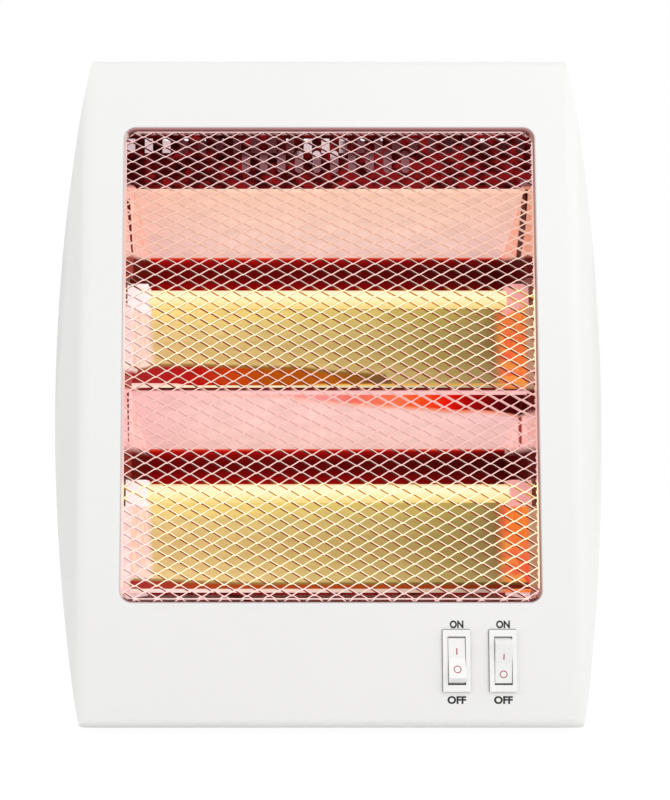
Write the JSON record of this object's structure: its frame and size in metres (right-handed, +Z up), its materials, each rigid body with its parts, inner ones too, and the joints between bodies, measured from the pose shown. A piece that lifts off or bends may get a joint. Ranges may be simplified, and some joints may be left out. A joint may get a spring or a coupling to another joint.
{
  "type": "electric bar heater",
  "caption": "Free-standing electric bar heater with quartz tubes behind a mesh guard, polished reflectors, bowed white casing and rocker switches that each turn on a tube.",
  "frame": {"origin": "on the floor, under the middle of the box round the whole heater", "axes": "+Z up, -Y out of the front with its window and switches, +X to the right as seen from the front"},
  "size_m": [0.293, 0.132, 0.35],
  "materials": {
    "casing_white": "satin moulded, white",
    "base_white": "matt moulded, off-white",
    "foot_rubber": "matt",
    "guard_steel": "bright plated expanded steel",
    "clip_steel": "zinc plated",
    "reflector_sheet": "bright rolled sheet",
    "end_sheet": "bright rolled sheet",
    "shield_sheet": "mill finish",
    "quartz": "frosted quartz, lit from inside",
    "heating_wire": "resistance wire, glowing",
    "cap_ceramic": "unglazed",
    "switch_plastic": "glossy white",
    "tab_brass": "plated",
    "inner_plastic": "matt moulded",
    "cutout_case": "unglazed",
    "lead_sleeve": "heat-proof sleeve"
  },
  "bodies": {
    "casing": {"front_panel": "casing_white", "rear_cover": "casing_white", "base_plate": "base_white", "feet": "foot_rubber", "guard_mesh": "guard_steel", "guard_clips": "clip_steel", "reflector_upper": "reflector_sheet", "reflector_lower": "reflector_sheet", "end_plate_left": "end_sheet", "end_plate_right": "end_sheet", "heat_shield": "shield_sheet", "tube_upper": "quartz", "tube_lower": "quartz", "coil_upper": "heating_wire", "coil_lower": "heating_wire", "cap_upper_left": "cap_ceramic", "cap_upper_right": "cap_ceramic", "cap_lower_left": "cap_ceramic", "cap_lower_right": "cap_ceramic", "switch_frame_left": "switch_plastic", "switch_frame_right": "switch_plastic", "switch_tabs": "tab_brass", "plunger_spring": "clip_steel", "plunger_guide": "inner_plastic", "tilt_switch": "inner_plastic", "terminal_block": "inner_plastic", "thermal_cutout": "cutout_case", "cord_gland": "base_white", "lead_feed": "lead_sleeve", "lead_common": "lead_sleeve", "lead_link": "lead_sleeve", "lead_lower": "lead_sleeve", "lead_upper": "lead_sleeve", "casing_screws": "clip_steel", "plate_screws": "clip_steel", "shield_screws": "clip_steel", "base_screws": "clip_steel"},
    "rocker_left_body": {"rocker_left": "switch_plastic"},
    "rocker_right_body": {"rocker_right": "switch_plastic"},
    "plunger_body": {"tilt_plunger": "inner_plastic"}
  },
  "joints": [
    {"name": "left_rocker_tilt", "type": "hinge", "parent": "casing", "child": "rocker_left_body", "pos_m": [0.0635, -0.0569, 0.03735], "axis": [1, 0, 0], "range_deg": [0, 28]},
    {"name": "right_rocker_tilt", "type": "hinge", "parent": "casing", "child": "rocker_right_body", "pos_m": [0.0871, -0.0569, 0.03735], "axis": [-1, 0, 0], "range_deg": [0, 28]},
    {"name": "tip_over_plunger", "type": "slide", "parent": "casing", "child": "plunger_body", "axis": [0, 0, -1], "range_m": [0, 0.005], "stiffness_N_per_m": 40, "springref_m": 0.01, "deforming": ["plunger_spring"]}
  ]
}
